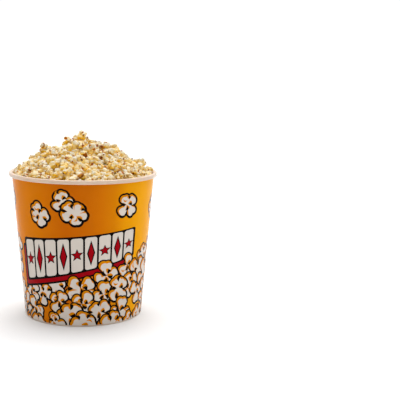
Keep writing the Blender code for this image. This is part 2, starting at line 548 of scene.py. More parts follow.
def drawPuff(place, size, spin, line, random):
    # a cartoon puff of popped corn: broad round lobes, each of two discs side by side, with a dark
    # outline, a shaded edge, creases that run in from the notches and a few curls
    shape = puffShape
    count = random.integers(crowd["lobes"][0], crowd["lobes"][1] + 1)
    uneven = random.uniform(-shape["uneven"], shape["uneven"], count)
    angles = spin + (np.arange(count) + uneven) * 2 * math.pi / count
    ways = np.stack([np.cos(angles), np.sin(angles)], axis=1)
    across = np.stack([-ways[:, 1], ways[:, 0]], axis=1)
    reach = size * random.uniform(*shape["reach"], (count, 1))
    width = size * random.uniform(*shape["width"], (count, 1)) * min(1.0, shape["roomyCount"] / count)
    radii = size * random.uniform(*shape["disc"], 2 * count)
    centres = np.vstack([ways * reach + across * width, ways * reach - across * width, (0, 0)])
    radii = np.append(radii, size * shape["middle"])
    lit = np.array(crowd["lit"]) * size
    shapes = [
        ("ink", discsOutline(centres, radii + line, place + lit * crowd["heavy"])),
        ("ink", discsOutline(centres, radii + line, place)),
        ("amber", discsOutline(centres, radii, place)),
        ("cream", discsOutline(centres * shape["creamReach"], radii * crowd["litShare"], place + lit)),
    ]
    wrapped = np.where(np.arange(count) == count - 1, 2 * math.pi, 0)
    notches = (angles + np.roll(angles, -1) + wrapped) / 2
    edge = discsReach(notches, centres, radii) + line
    outward = np.stack([np.cos(notches), np.sin(notches)], axis=1)
    (inkWidth, inkBlunt), (amberWidth, amberBlunt) = shape["notchInk"], shape["notchAmber"]
    for way, far, depth in zip(outward, edge, random.uniform(*shape["notch"], count)):
        bend = random.uniform(-shape["notchBend"], shape["notchBend"]) * size
        start = place + way * (far - line / 2)
        inner = place + way * (far - depth * size)
        shifted = inner - lit * shape["amberShift"]
        amberBend = bend - shape["amberBend"] * size
        shapes.append(("amber", stroke(start, shifted, amberBend, amberWidth * size, amberBlunt)))
        shapes.append(("ink", stroke(start, inner, bend, inkWidth * size, inkBlunt)))
    (startAlong, startAside), (endAlong, endAside) = shape["curlStart"], shape["curlEnd"]
    for way, far in zip(ways, reach[:, 0]):
        if random.uniform() < crowd["curls"]:
            side = np.array([-way[1], way[0]]) * random.choice([-1, 1])
            start = place + way * far * startAlong - side * size * startAside
            end = place + way * far * endAlong + side * size * endAside
            shapes.append(("amber", stroke(start, end, size * shape["curlBend"], size * shape["curlWidth"])))
    return shapes


def roundedBox(low, high, radius, steps=4):
    # a rectangle with round corners: a quarter circle about each corner's centre
    left, right = low[0] + radius, high[0] - radius
    bottom, top = low[1] + radius, high[1] - radius
    corners = (((right, bottom), -90), ((right, top), 0), ((left, top), 90), ((left, bottom), 180))
    return np.concatenate([arc(centre, radius, start, start + 90, steps) for centre, start in corners])


def star(centre, outer, inner, points=5):
    # a star: two radii by turns, a tip straight up
    angles = math.pi / 2 + np.arange(2 * points) * math.pi / points
    radii = np.where(np.arange(2 * points) % 2 == 0, outer, inner)
    return np.array(centre) + radii[:, None] * np.stack([np.cos(angles), np.sin(angles)], axis=1)


def lozenge(centre, width, height):
    return np.array(centre) + np.array([(width, 0), (0, height), (-width, 0), (0, -height)]) / 2


def drawBanner(middle):
    # a slanted band of cream panels with red stars and lozenges, over its own red shadow;
    # it is drawn upright in a box of width x height and then sheared and tapered into place
    left, right = (math.radians(banner[end]) * middleRadius for end in ("leftAngle", "rightAngle"))
    (lowLeft, lowRight), (highLeft, highRight) = banner["low"], banner["high"]
    width = right - left
    height = (highLeft + highRight - lowLeft - lowRight) / 2

    def place(points):
        share = points[:, 0] / width
        low = lowLeft + (lowRight - lowLeft) * share
        high = highLeft + (highRight - highLeft) * share
        up = low + (high - low) * points[:, 1] / height
        return np.column_stack([middle + left + points[:, 0], up])

    line, corner = banner["outline"], banner["cornerRadius"]
    shift = np.array(banner["shadow"])
    outside = place(roundedBox((-line, -line), (width + line, height + line), corner))
    shapes = [
        ("ink", outside + shift),
        ("red", place(roundedBox((0, 0), (width, height), corner)) + shift),
        ("ink", outside),
    ]
    step = width / banner["panels"]
    for number in range(banner["panels"]):
        low = (number * step + banner["gap"] / 2, 0)
        high = ((number + 1) * step - banner["gap"] / 2, height)
        shapes.append(("cream", place(roundedBox(low, high, corner))))
        centre = ((number + 0.5) * step, height / 2)
        drawn, sizes = (lozenge, banner["lozenges"]) if number % 2 else (star, banner["stars"])
        for ink, size in zip(("ink", "red"), sizes):
            shapes.append((ink, place(drawn(centre, *size))))
    return shapes


def crowdPlace(spots):
    # for each spot in the crowd of puffs, how far it is under the edge of the crowd: under the banners
    # that is their shadow's lower edge, and between them the height of the sides; and whether the spot
    # is so near a banner that its puff is drawn before the banner, which then covers it
    angle = (np.degrees(spots[:, 0] / middleRadius) + labelMiddle + 90) % 180 - 90
    share = (angle - banner["leftAngle"]) / (banner["rightAngle"] - banner["leftAngle"])
    edge = banner["low"][0] + (banner["low"][1] - banner["low"][0]) * share + banner["shadow"][1]
    free = (share < crowd["sides"][0]) | (share > crowd["sides"][1])
    over = (share > crowd["overFrom"]) & ~free
    underBanner = np.where(over, edge + crowd["overRise"], edge - crowd["underDrop"])
    top = np.where(free, crowd["sideTop"] - crowd["sideDrop"], underBanner)
    behind = ~free & ~over & (spots[:, 1] > edge - crowd["clear"])
    return top - spots[:, 1], behind


def finer(outline):
    # the same outline with extra points, so that none of its sides is too long
    ends = np.roll(outline, -1, axis=0)
    counts = np.maximum(1, np.ceil(np.hypot(*(ends - outline).T) / label["longestSide"]).astype(int))
    first = np.repeat(np.cumsum(counts) - counts, counts)
    share = (np.arange(counts.sum()) - first) / np.repeat(counts, counts)
    return np.repeat(outline, counts, axis=0) + share[:, None] * np.repeat(ends - outline, counts, axis=0)


def drawLabel():
    # everything on the label, back to front, as (ink, outline)
    random = np.random.default_rng(crowd["seed"])
    half = wholeTurn / 2
    kept = np.zeros((0, 2))
    tries = random.uniform((-half, crowd["lowest"]), (half, crowd["sideTop"]), (crowd["tries"], 2))
    for spot in tries[crowdPlace(tries)[0] > 0]:
        apart = np.abs(kept[:, 0] - spot[0])
        apart = np.minimum(apart, wholeTurn - apart)
        if (np.hypot(apart, kept[:, 1] - spot[1]) > crowd["spacing"]).all():
            kept = np.vstack([kept, spot])
    behind = crowdPlace(kept)[1]
    order = np.lexsort((-kept[:, 1] + random.uniform(0, crowd["shuffle"], len(kept)), ~behind))
    kept, behind = kept[order], behind[order]
    puffs = []
    for spot in kept:
        size, spin = random.uniform(*crowd["size"]), random.uniform(0, 2 * math.pi)
        puffs.append((spot, size, spin, crowd["outline"]))
    for turned in (0, 180):
        for angle, height, size, spin in floating:
            around = (math.radians(angle + turned - labelMiddle) * middleRadius + half) % wholeTurn - half
            puffs.append((np.array([around, height]), size, math.radians(spin), crowd["floatingOutline"]))
    shapes = []
    for number, (spot, size, spin, line) in enumerate(puffs):
        if number == behind.sum():
            front = -math.radians(labelMiddle) * middleRadius
            shapes += drawBanner(front) + drawBanner(front + wholeTurn / 2)
        drawn = drawPuff(spot, size, spin, line, random)
        shapes += drawn
        nearSeam = abs(spot[0]) > half - 3 * size
        if nearSeam:  # what runs over one end of the label goes on at the other
            shift = np.array([-np.sign(spot[0]) * wholeTurn, 0])
            shapes += [(ink, outline + shift) for ink, outline in drawn]
    return [(ink, finer(outline)) for ink, outline in shapes]


def insideOutline(points, outline):
    # which points lie in a closed outline: a ray to the right of them crosses it an odd number of times
    found = np.zeros(len(points), bool)
    near = ((points >= outline.min(axis=0)) & (points <= outline.max(axis=0))).all(axis=1)
    x, y = points[near, 0][:, None], points[near, 1][:, None]
    ax, ay = outline.T
    bx, by = np.roll(outline, -1, axis=0).T
    spans = (ay > y) != (by > y)
    with np.errstate(divide="ignore", invalid="ignore"):
        crossing = ax + (y - ay) * (bx - ax) / (by - ay)
    found[near] = (spans & (x < crossing)).sum(axis=1) % 2 == 1
    return found


def shownEdges(shapes):
    # the edges of the outlines that no later shape covers, as pairs of end points
    starts = np.concatenate([outline for ink, outline in shapes])
    ends = np.concatenate([np.roll(outline, -1, axis=0) for ink, outline in shapes])
    owner = np.repeat(np.arange(len(shapes)), [len(outline) for ink, outline in shapes])
    middles = (starts + ends) / 2
    shown = np.ones(len(starts), bool)
    for number, (ink, outline) in enumerate(shapes):
        shown &= ~(insideOutline(middles, outline) & (owner < number))
    return starts[shown], ends[shown]


def cutLabel(shapes):
    # triangles of the label that follow every outline that shows, and the ink of each; 0 is the ground
    half = (wholeTurn - label["seam"]) / 2
    low, high = label["low"], rimTop - bucketShape["rimDrop"] - label["underRim"]
    starts, ends = shownEdges(shapes)

    def onLabel(places):
        return (np.abs(places[:, 0]) < half) & (places[:, 1] > low) & (places[:, 1] < high)

    kept = onLabel(starts) | onLabel(ends)
    starts, ends = starts[kept], ends[kept]
    gap = label["spacing"]
    across = np.linspace(-half, half, round(2 * half / gap) + 1)
    up = np.linspace(low, high, round((high - low) / gap) + 1)
    grid = np.stack(np.meshgrid(across, up, indexing="ij"), axis=-1)
    loose = grid[1:-1, 1:-1].reshape(-1, 2)
    clear = np.ones(len(loose), bool)
    for block in np.array_split(starts, len(starts) // label["blockSize"] + 1):
        apart = ((loose[:, None] - block[None]) ** 2).sum(axis=-1)
        clear &= apart.min(axis=1) > (gap / 4) ** 2
    border = np.concatenate([grid[:-1, 0], grid[-1, :-1], grid[:0:-1, -1], grid[0, :0:-1]])
    points = np.concatenate([border, starts, ends, loose[clear]])
    rim = np.stack([np.arange(len(border)), np.roll(np.arange(len(border)), -1)], axis=1)
    first = len(border) + np.arange(len(starts))
    edges = np.concatenate([rim, np.stack([first, first + len(starts)], axis=1)])
    scaled = [Vector(point) for point in (points * 1000).tolist()]  # in mm, as is the tolerance
    cut = delaunay_2d_cdt(scaled, edges.tolist(), [], 0, label["tolerance"], False)
    points = np.array([tuple(point) for point in cut[0]]) / 1000
    faces = np.array(cut[2])
    middles = points[faces].mean(axis=1)
    kept = onLabel(middles)
    faces, middles = faces[kept], middles[kept]
    inks = np.zeros(len(faces), int)
    names = ["ground"] + list(inkColours)
    for ink, outline in shapes:
        inks[insideOutline(middles, outline)] = names.index(ink)
    return points, faces, inks, names


def makeFilm(name, slotName, points, faces, finish):
    # a closed film: the flat points laid round the wall at two distances, (r sin a, -r cos a, z),
    # with a narrow wall along every open edge; its normals are the cone's own
    used, corners = np.unique(faces, return_inverse=True)
    corners = corners.reshape(faces.shape)
    flat = points[used]
    angle = flat[:, 0] / middleRadius + math.radians(labelMiddle)
    slope = (bucketShape["neckRadius"] - bucketShape["baseRadius"]) / (rimTop - bucketShape["rimDrop"])
    outward = np.column_stack([np.sin(angle), -np.cos(angle), np.full(len(angle), -slope)])
    outward /= np.linalg.norm(outward, axis=1, keepdims=True)
    radius = wallRadius(flat[:, 1])
    base = np.column_stack([radius * np.sin(angle), -radius * np.cos(angle), flat[:, 1]])
    places = np.vstack([base + outward * label["filmOutside"], base + outward * label["filmInside"]])
    count = len(flat)
    pairs = np.concatenate([corners[:, [0, 1]], corners[:, [1, 2]], corners[:, [2, 0]]])
    key = np.sort(pairs, axis=1) @ np.array([count, 1])
    where, times = np.unique(key, return_inverse=True, return_counts=True)[1:]
    start, end = pairs[times[where] == 1].T
    sides = np.column_stack([end, start, start + count, end + count])
    shell = [np.vstack([corners, corners[:, ::-1] + count]), sides]
    addPiece(name, slotName, places, shell, finish, normals=np.vstack([outward, -outward]))


def makeInk(name):
    # a glossy ink with a faint cloudiness and the very slight ripple of a moulded wall; the ground's
    # colour runs round the bucket with painted light in it, darkest at the front, brighter at the sides and
    # back
    finish, tree, shader = newFinish("print_" + name, {
        "Roughness": label["gloss"],
        "IOR": 1.46,
        "Specular IOR Level": label["specular"],
    })
    place = addNode(tree, "ShaderNodeTexCoord").outputs["Object"]
    cloud = addNoise(tree, place, scale=60.0, detail=4.0)
    if name == "ground":
        quarter = {"Vector": place, "Rotation": (0, 0, math.pi / 2)}
        around = addNode(tree, "ShaderNodeMapping", inputs=quarter).outputs[0]
        # painted light: the ground's colour swept round the bucket, darker where less light came through the
        # wall
        swept = addNode(tree, "ShaderNodeTexGradient", {"gradient_type": "RADIAL"}, {"Vector": around})
        shade = addRamp(tree, cloud, [(0.3, (1 - label["groundMottle"],) * 3), (0.7, (1.0,) * 3)])
        tone = addMix(tree, 1.0, addRamp(tree, swept.outputs["Fac"], groundColoursWithPaintedLight), shade, "MULTIPLY")
    else:
        base = np.array(inkColours[name])
        tone = addRamp(tree, cloud, [(0.3, base * (1 - label["mottle"])), (0.7, base)])
    tree.links.new(tone, shader.inputs["Base Color"])
    ripple = addNoise(tree, place, scale=26.0, detail=1.0)
    addBump(tree, shader, ripple, strength=0.15, distance=0.0006)
    return finish


def makePrint():
    shapes = drawLabel()
    points, faces, inks, names = cutLabel(shapes)
    for number, name in enumerate(names):
        slotName = "print_ground" if name == "amber" else "print_" + name
        makeFilm("print_" + name, slotName, points, faces[inks == number], makeInk(name))
    print("print cut,", len(shapes), "shapes,", len(faces), "triangles")


# Popcorn

flakeShape = {
    "lobes": 9,  # round a middle one
    "lobeScatter": 0.30,  # how far they are off an even spread
    "lobeReach": (0.0042, 0.0068),  # middle of the flake to middle of a lobe
    "lobeRadius": (0.0019, 0.0034),
    "middleRadius": (0.0028, 0.0048),
    "smallShare": 0.16,  # of the lobes are small ones
    "smallSize": 0.62,
    "stretch": (0.80, 1.22),  # of each lobe, along its own three axes
    "bulges": 10,  # on each lobe
    "bulgeScatter": 0.25,
    "bulgeOutward": 0.15,  # how far they lean away from the flake's middle
    "bulgeRadius": (0.30, 0.62),  # share of its lobe's
    "bulgeReach": (0.66, 1.04),
    "heart": 0.94,  # radius of the ball in a lobe's middle, likewise
    "ripple": 0.00008,
    "rippleRates": (2600, 4300),  # radians to the metre
    "secondRipple": 0.7,  # height of the second, as a share of the first's
    "contactReach": 0.0016,  # how near another lobe the painted yellow crease shade begins
    "contactFade": 1.5,  # power
    "deepFrom": 1.25,  # painted shade of yellow towards the flake's middle: this less (distance from it / deepReach)
    "deepReach": 0.0070,
    "hullPatch": (0.0014, 0.0035),  # radius of the bit of hull that stays on a flake
    "hullPlace": (0.0040, 0.0060),  # its distance from the flake's middle
    "hullRagged": 0.00035,
    "hullShare": 0.70,  # of the flakes show one
    "tint": (-0.05, 0.75),  # share of warm white in a flake, at random, before the painted light of the lit side takes some off
    "litTint": 0.9,  # painted light: less warm white by this on the lit side, so it is whiter
}

plainFlakeShape = {  # the flakes that lie under the others
    **flakeShape,
    "lobes": 6,
    "lobeReach": (0.0040, 0.0064),
    "lobeRadius": (0.0024, 0.0039),
    "middleRadius": (0.0036, 0.0056),
    "bulges": 7,
    "bulgeRadius": (0.36, 0.66),
}

noHull = -3  # a value that shows no hull anywhere

heap = {
    "seed": 354,
    "underSeed": 1,
    "topSpacing": 0.0118,  # least distance between two flakes' middles
    "topSunk": 0.0076,  # of the middles under the smooth heap
    "topCells": 6,  # squares along each side of the cubes that the lobes are made from
    "underSpacing": 0.0101,
    "underSunk": 0.0124,
    "underCells": 5,
    "tries": 4000,
    "edgeGap": 0.006,  # from the wall to the outermost flakes' middles
    "fillSpacing": 0.0090,  # more flakes go where none of the others is nearer than this
    "fillSunk": 0.0104,
    "coreSunk": 0.0230,
    "wallFlakes": 42,  # in a ring against the wall
    "wallUneven": 0.2,  # how far they are off an even spread, as a share of the angle between two
    "wallIn": 0.001,  # how far inside the outermost others
    "wallDepth": (0.0050, 0.0090),  # of their middles under the rim's top
    "crest": [  # flakes that make the heap's uneven top: x, y, height over the rim
        (-0.076, 0.000, 0.0005),
        (-0.062, 0.000, 0.0115),
        (-0.047, 0.000, 0.0255),
        (-0.034, 0.002, 0.0265),
        (-0.0195, 0.002, 0.0365),
        (-0.0025, 0.003, 0.0435),
        (0.0125, 0.004, 0.0290),
        (0.027, 0.002, 0.0280),
        (0.039, 0.002, 0.0260),
        (0.053, 0.000, 0.0095),
        (0.068, 0.000, 0.0070),
        (0.079, -0.002, -0.0005),
    ],
    "dips": [  # hollows in the heap: x, y, radius, depth
        (0.056, 0.018, 0.018, 0.0055),
        (-0.034, 0.018, 0.014, 0.0040),
        (-0.078, 0.008, 0.012, 0.0030),
        (0.010, 0.020, 0.010, 0.0030),
    ],
    "bell": 0.0030,  # width of the bell that smooths the heap's own points
    "pointsFrom": 0.0045,  # under the rim's top: lower points don't count
    "slope": 0.8,  # of the heap at its edge
    "gapRise": 0.0020,  # out of the heap from a flake's middle, where the painted shade of the gaps round it begins
    "gapFade": 0.0050,  # from there to the painted shade's full strength
    "paintedShadeShare": 0.95,  # share of the crease colour painted as shade in the gaps and on the sides away from the light
    "litSide": (0.15, 0.35, 0.92),  # the way to the light, for the light and shade painted into the popcorn's colours
    "litFacing": 0.6,  # how much a point's own facing counts, the rest being its side of the flake
    "litCrease": 0.85,  # strength of the painted crease shade
    "litFade": 0.35,  # the painted shade is less by this on the lit side
    "shadeFrom": 0.28,  # towards the light is 1, away from it -1: under this the painted shade begins
    "shadeFade": 0.80,
    "size": (0.82, 1.22),  # of one flake, as a factor
    "wallGap": 0.0004,  # between the popcorn and the plastic
    "wallZone": 0.0035,  # how near the wall flakes are squeezed
    "overRim": (0.004, 0.008),  # within this rise over the rim the limit moves out by this much
    "pieceTriangles": 190000,
}

coreShape = {
    "sides": 120,
    "rings": 44,
    "underRim": 0.003,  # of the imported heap's edge
    "fillet": 0.004,  # slanted edge where it stands on the floor
    "lumps": 0.0012,
}

fleckShape = {
    "seed": 8,
    "count": 420,
    "length": (0.0013, 0.0044),
    "deepest": 0.0045,  # under the top of the heap
    "width": (0.45, 0.85),  # share of the length
    "curl": 0.45,
    "ragged": 0.18,  # three waves round the edge, as a share of its radius
    "tilt": 0.15,  # off the way that the flake faces
    "thickness": 0.00018,
    "rings": ((0.55, 6), (1.0, 9)),  # share of the radius, and how many points
}

kernelShape = {
    "seed": 4,
    "places": [  # x, y, size
        (-0.004, -0.076, 1.10),
        (-0.050, -0.010, 0.85),
        (0.024, -0.012, 0.95),
        (0.064, -0.034, 1.00),
        (-0.026, -0.046, 0.75),
        (0.008, -0.026, 0.60),
        (0.042, -0.062, 0.65),
        (0.026, -0.052, 0.60),
        (-0.064, -0.040, 0.65),
        (0.036, 0.052, 1.00),
        (-0.030, 0.058, 0.80),
        (0.004, 0.030, 0.65),
    ],
    "length": 0.0086,
    "width": 0.0066,
    "flatness": 0.72,
    "taper": 0.34,
    "dents": 0.07,
    "cells": 6,
    "rise": 0.0002,  # of its middle over the flakes under it
    "burst": 7,  # white lobes that come out of each
    "burstSide": (0.9, 0.3, 0.3),
    "burstScatter": 0.55,
    "burstDepth": 2.2,  # the lobes' middles are the length divided by this from the kernel's
    "lobeRadius": (0.0011, 0.0021),
    "bulges": 8,
    "bulgeReach": 0.85,  # share of the lobe's radius
    "bulgeRadius": 0.5,
    "lobeCells": 4,
    "toFront": (0, -0.6, 0),  # how far they are turned to the front
}

popcornColours = {
    "light": fromSrgb(214, 211, 199),
    "warm": fromSrgb(234, 223, 195),
    # painted shade: a warm yellow put in creases, in gaps and on sides away from the light, where shade
    # falls
    "creaseShade": fromSrgb(255, 204, 2),
    "hull": fromSrgb(194, 106, 12),
    "hullDark": fromSrgb(108, 50, 5),
    "kernel": fromSrgb(200, 130, 30),
    "kernelDark": fromSrgb(112, 54, 6),
}


def unit(vectors):
    return vectors / (np.linalg.norm(vectors, axis=-1, keepdims=True) + 1e-12)


def randomTurns(count, random):
    # rotation matrices from random quaternions
    w, x, y, z = unit(random.normal(size=(count, 4))).T
    rows = [
        (1 - 2 * (y * y + z * z), 2 * (x * y - z * w), 2 * (x * z + y * w)),
        (2 * (x * y + z * w), 1 - 2 * (x * x + z * z), 2 * (y * z - x * w)),
        (2 * (x * z - y * w), 2 * (y * z + x * w), 1 - 2 * (x * x + y * y)),
    ]
    return np.stack([np.stack(row, axis=-1) for row in rows], axis=-2)


def evenDirections(count):
    # directions spread evenly over a sphere, on a spiral from pole to pole: equal steps of height, each
    # turned from the last by the golden angle, pi (3 - sqrt 5)
    order = np.arange(count) + 0.5
    up = 1 - 2 * order / count
    around = order * math.pi * (3 - math.sqrt(5))
    flat = np.sqrt(1 - up**2)
    return np.stack([flat * np.cos(around), flat * np.sin(around), up], axis=1)


def growBlobs(centres, radii, cells, seam=0.0005):
    # closed knobbly skins, one for each cluster of balls, about its point (0, 0, 0): in each direction d
    # the farthest exit from the balls, d.c + sqrt(r^2 - |c|^2 + (d.c)^2); the painted crease shade is 1
    # where two balls meet and 0 where one stands farther out than the next by the seam or more
    directions, quads = cubeDirections(cells)
    along = np.einsum("vd,...ld->...vl", directions, centres)
    under = (radii**2 - (centres**2).sum(axis=-1))[..., None, :] + along**2
    exits = np.where(under > 0, along + np.sqrt(np.maximum(under, 0)), 0)
    ordered = np.partition(exits, -2, axis=-1)
    reach, second = ordered[..., -1], ordered[..., -2]
    creaseShade = np.clip(1 - (reach - second) / seam, 0, 1) ** 2
    return directions * reach[..., None], quads, creaseShade


def ballsRound(around, reach, radius, heart):
    # a cluster of balls for each lobe: one in its middle, the others that far out in the given directions
    middle = np.zeros((*around.shape[:-2], 1, 3))
    return np.concatenate([middle, around * reach], axis=-2), np.concatenate([heart, radius], axis=-1)


def repeated(faces, count, step):
    # the same faces for each of a number of like things, whose points follow one another
    return (faces + np.arange(count)[:, None, None] * step).reshape(-1, faces.shape[-1])


def frames(ways, random):
    # for each direction w a set of axes (u, v, w), turned about it by chance
    first = unit(np.cross(ways, random.normal(size=ways.shape)))
    return np.stack([first, np.cross(ways, first), ways], axis=-2)


def growFlakes(shape, count, cells, random):
    # burst flakes about their own middles: lobes stand round a middle one, each a cluster of balls
    # stretched along its own axes; a sum of two sines of the place makes the fine ripple
    lobes = shape["lobes"] + 1
    ways = evenDirections(shape["lobes"]) @ randomTurns(count, random)
    ways = unit(ways + random.normal(0, shape["lobeScatter"], ways.shape))
    ways = np.concatenate([unit(random.normal(size=(count, 1, 3))), ways], axis=1)
    reach = random.uniform(*shape["lobeReach"], (count, lobes, 1))
    radius = random.uniform(*shape["lobeRadius"], (count, lobes, 1))
    radius[random.uniform(size=radius.shape) < shape["smallShare"]] *= shape["smallSize"]
    reach[:, 0] = 0
    radius[:, 0] = random.uniform(*shape["middleRadius"], (count, 1))
    middles = ways * reach
    bulges = shape["bulges"]
    around = evenDirections(bulges) @ randomTurns(count * lobes, random).reshape(count, lobes, 3, 3)
    outward = (0, 0, shape["bulgeOutward"])
    around = unit(around + random.normal(0, shape["bulgeScatter"], around.shape) + outward)
    bulgeReach = random.uniform(*shape["bulgeReach"], (count, lobes, bulges, 1)) * radius[..., None]
    bulgeRadius = random.uniform(*shape["bulgeRadius"], (count, lobes, bulges)) * radius
    balls, ballRadii = ballsRound(around, bulgeReach, bulgeRadius, radius * shape["heart"])
    local, quads, creaseShade = growBlobs(balls, ballRadii, cells)
    stretch = random.uniform(*shape["stretch"], (count, lobes, 1, 3))
    axes = frames(ways, random)
    points = (local * stretch) @ axes + middles[:, :, None]
    centres = (balls * stretch) @ axes + middles[:, :, None]
    phase = random.uniform(0, 2 * math.pi, (count, 1, 1, 3))
    first, second = shape["rippleRates"]
    wave = np.sin(points * first + phase)
    wave = wave + shape["secondRipple"] * np.sin(points[..., ::-1] * second + 2 * phase)
    wave = wave.sum(axis=-1)
    points = points + unit(points - middles[:, :, None]) * wave[..., None] * shape["ripple"]
    facing = meanFacing(points, quads)
    creaseShade = np.maximum(creaseShade, contacts(points, centres, ballRadii * stretch.mean(axis=-1), shape))
    # painted shade: yellow towards the flake's middle, where its lobes shade one another
    deepShade = np.clip(shape["deepFrom"] - np.linalg.norm(points, axis=-1) / shape["deepReach"], 0, 1)
    patch = unit(random.normal(size=(count, 1, 1, 3)))
    patch = patch * random.uniform(*shape["hullPlace"], (count, 1, 1, 1))
    wide = random.uniform(*shape["hullPatch"], (count, 1, 1))
    wide = wide * (random.uniform(size=(count, 1, 1)) < shape["hullShare"])
    inside = wide - np.linalg.norm(points - patch, axis=-1) + wave * shape["hullRagged"]
    values = {"creaseShade": creaseShade, "deepShade": deepShade, "hull": np.where(wide > 0, inside * 1000, noHull)}
    values = {key: value.reshape(count, -1) for key, value in values.items()}
    quads = repeated(quads, lobes, points.shape[2])
    return points.reshape(count, -1, 3), facing.reshape(count, -1, 3), quads, values


def meanFacing(points, quads):
    # the way that each point faces: the mean of what the faces round it do
    corners = points[:, :, quads]
    across = np.cross(corners[..., 2, :] - corners[..., 0, :], corners[..., 3, :] - corners[..., 1, :])
    meets = (np.arange(points.shape[2])[:, None, None] == quads).any(axis=-1).astype(float)
    return unit(np.einsum("vq,flqa->flva", meets, across))


def contacts(points, centres, radii, shape):
    # how near each point of a lobe is to the other lobes of its flake: 1 where they touch, falling to 0; it
    # sets the painted crease shade
    count, lobes, balls = radii.shape
    owner = np.repeat(np.arange(lobes), balls)
    centres, radii = centres.reshape(count, 1, -1, 3), radii.reshape(count, 1, -1)
    touch = np.zeros(points.shape[:-1])
    for lobe in range(lobes):
        others = owner != lobe
        apart = np.linalg.norm(points[:, lobe, :, None] - centres[:, :, others], axis=-1)
        near = (apart - radii[:, :, others]).min(axis=-1)
        touch[:, lobe] = np.clip(1 - near / shape["contactReach"], 0, 1) ** shape["contactFade"]
    return touch


def heapHeight(spots):
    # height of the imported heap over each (x, y): the mean of its own points, weighted by a bell,
    # e^(-distance^2 / (2 width^2))
    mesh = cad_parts["popcorn_heap"].data
    points = np.empty(len(mesh.vertices) * 3, np.float32)
    mesh.vertices.foreach_get("co", points)
    points = np.unique(np.round(points.reshape(-1, 3), 5), axis=0).astype(float)
    points = points[points[:, 2] > rimTop - heap["pointsFrom"]]
    apart = ((spots[:, None] - points[None, :, :2]) ** 2).sum(axis=-1)
    weight = np.exp(-(apart - apart.min(axis=1, keepdims=True)) / (2 * heap["bell"] ** 2))
    return (weight * points[:, 2]).sum(axis=1) / weight.sum(axis=1)


def dipDepth(spots):
    # how deep the hollows are at each (x, y): each one's depth times e^(-(distance / radius)^2), added up
    x, y, radius, depth = np.array(heap["dips"]).T
    apart = (spots[:, :1] - x) ** 2 + (spots[:, 1:] - y) ** 2
    return (depth * np.exp(-apart / radius**2)).sum(axis=1)


def scatter(spacing, sunk, edge, random, kept):
    # places in the heap, added to those kept already: tried at random over its surface, kept where no
    # other is within the spacing
    radius = edge * np.sqrt(random.uniform(size=heap["tries"]))
    angle = random.uniform(0, 2 * math.pi, heap["tries"])
    spots = np.stack([radius * np.cos(angle), radius * np.sin(angle)], axis=1)
    tries = np.column_stack([spots, heapHeight(spots) - dipDepth(spots) - sunk])
    for spot in tries:
        if (np.linalg.norm(kept - spot, axis=1) > spacing).all():
            kept = np.vstack([kept, spot])
    return kept


def settle(points):
    # keeps points off the plastic: what comes near the wall is squeezed against it, so that a distance d
    # past the start of a soft zone becomes zone * (1 - e^(-d / zone)); over the rim the limit moves out
    radius = np.hypot(points[..., 0], points[..., 1])
    rise, outward = heap["overRim"]
    free = np.clip((points[..., 2] - rimTop) / rise, 0, 1) * outward
    zone = heap["wallZone"]
    start = insideRadius(np.clip(points[..., 2], 0, rimTop)) - heap["wallGap"] + free - zone
    squeezed = start + zone * (1 - np.exp(-np.maximum(radius - start, 0) / zone))
    points[..., :2] *= np.where(radius > start, squeezed / np.maximum(radius, 1e-9), 1)[..., None]
    return points


def makePopcornFinish():
    # light and warm white in blotches, the lit side whiter as painted light; the points' own values add
    # a painted shade of yellow in the creases, gaps and sides away from the light, and the brown bits of
    # hull
    colours = {key: (*colour, 1) for key, colour in popcornColours.items()}
    finish, tree, shader = newFinish("popcorn", {
        "Roughness": 0.6,
        "IOR": 1.4,
        "Specular IOR Level": 0.08,
    })
    place = addNode(tree, "ShaderNodeTexCoord").outputs["Object"]
    blotch = addNoise(tree, place, scale=160.0, detail=3.0)
    warmth = addMath(tree, "MULTIPLY_ADD", blotch, 1.1, addValue(tree, "tint"), clamp=True)
    tone = addMix(tree, warmth, colours["light"], colours["warm"])
    # painted shade: the yellow of creases, gaps and sides away from the light
    shadeYellow = addMath(tree, "MAXIMUM", addValue(tree, "creaseShade"), addValue(tree, "deepShade"))
    tone = addMix(tree, shadeYellow, tone, colours["creaseShade"])
    speck = addNoise(tree, place, scale=700.0, detail=2.0)
    skin = addSkin(tree, speck, 0.40, 0.58, "hull")
    frayed = addMath(tree, "ADD", speck, addValue(tree, "hull"))
    patch = addNode(
        tree,
        "ShaderNodeMapRange",
        inputs={"Value": frayed, "From Min": 0.42, "From Max": 0.62},
    )
    tone = addMix(tree, patch.outputs["Result"], tone, skin)
    tree.links.new(tone, shader.inputs["Base Color"])
    foam = addNoise(tree, place, scale=1100.0, detail=3.0)
    addBump(tree, shader, foam, strength=0.35, distance=0.0004)
    return finish


def addSkin(tree, pattern, low, high, name):
    # the two browns of a hull or a kernel, the dark one where the pattern is low
    return addRamp(tree, pattern, [(low, popcornColours[name + "Dark"]), (high, popcornColours[name])])


